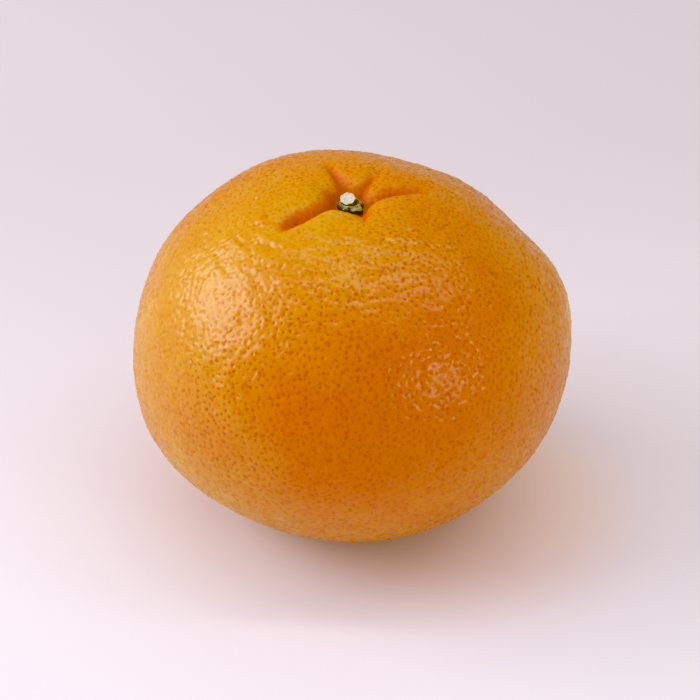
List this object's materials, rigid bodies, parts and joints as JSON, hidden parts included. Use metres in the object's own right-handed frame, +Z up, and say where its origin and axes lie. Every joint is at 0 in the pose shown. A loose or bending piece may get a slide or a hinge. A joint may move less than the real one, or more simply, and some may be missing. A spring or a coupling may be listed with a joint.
{
  "type": "harumi mandarin",
  "caption": "Whole oblate mandarin with pitted orange rind, sunk and furrowed stem end, small calyx and clipped stem stub.",
  "frame": {"origin": "on the surface the fruit rests on, at the middle of its outline seen from above. The stem stands 3.3 mm in front of it", "axes": "+Z up towards the stem end, -Y towards the front of the picture, +X to its right"},
  "size_m": [0.0796, 0.0796, 0.0658],
  "materials": {
    "rind": "waxy, semi-gloss, finely pitted",
    "calyx": "dry, matte",
    "stem": "dry, matte"
  },
  "bodies": {
    "root": {"fruit": "rind", "calyx": "calyx", "stem_stub": "stem"}
  },
  "joints": []
}
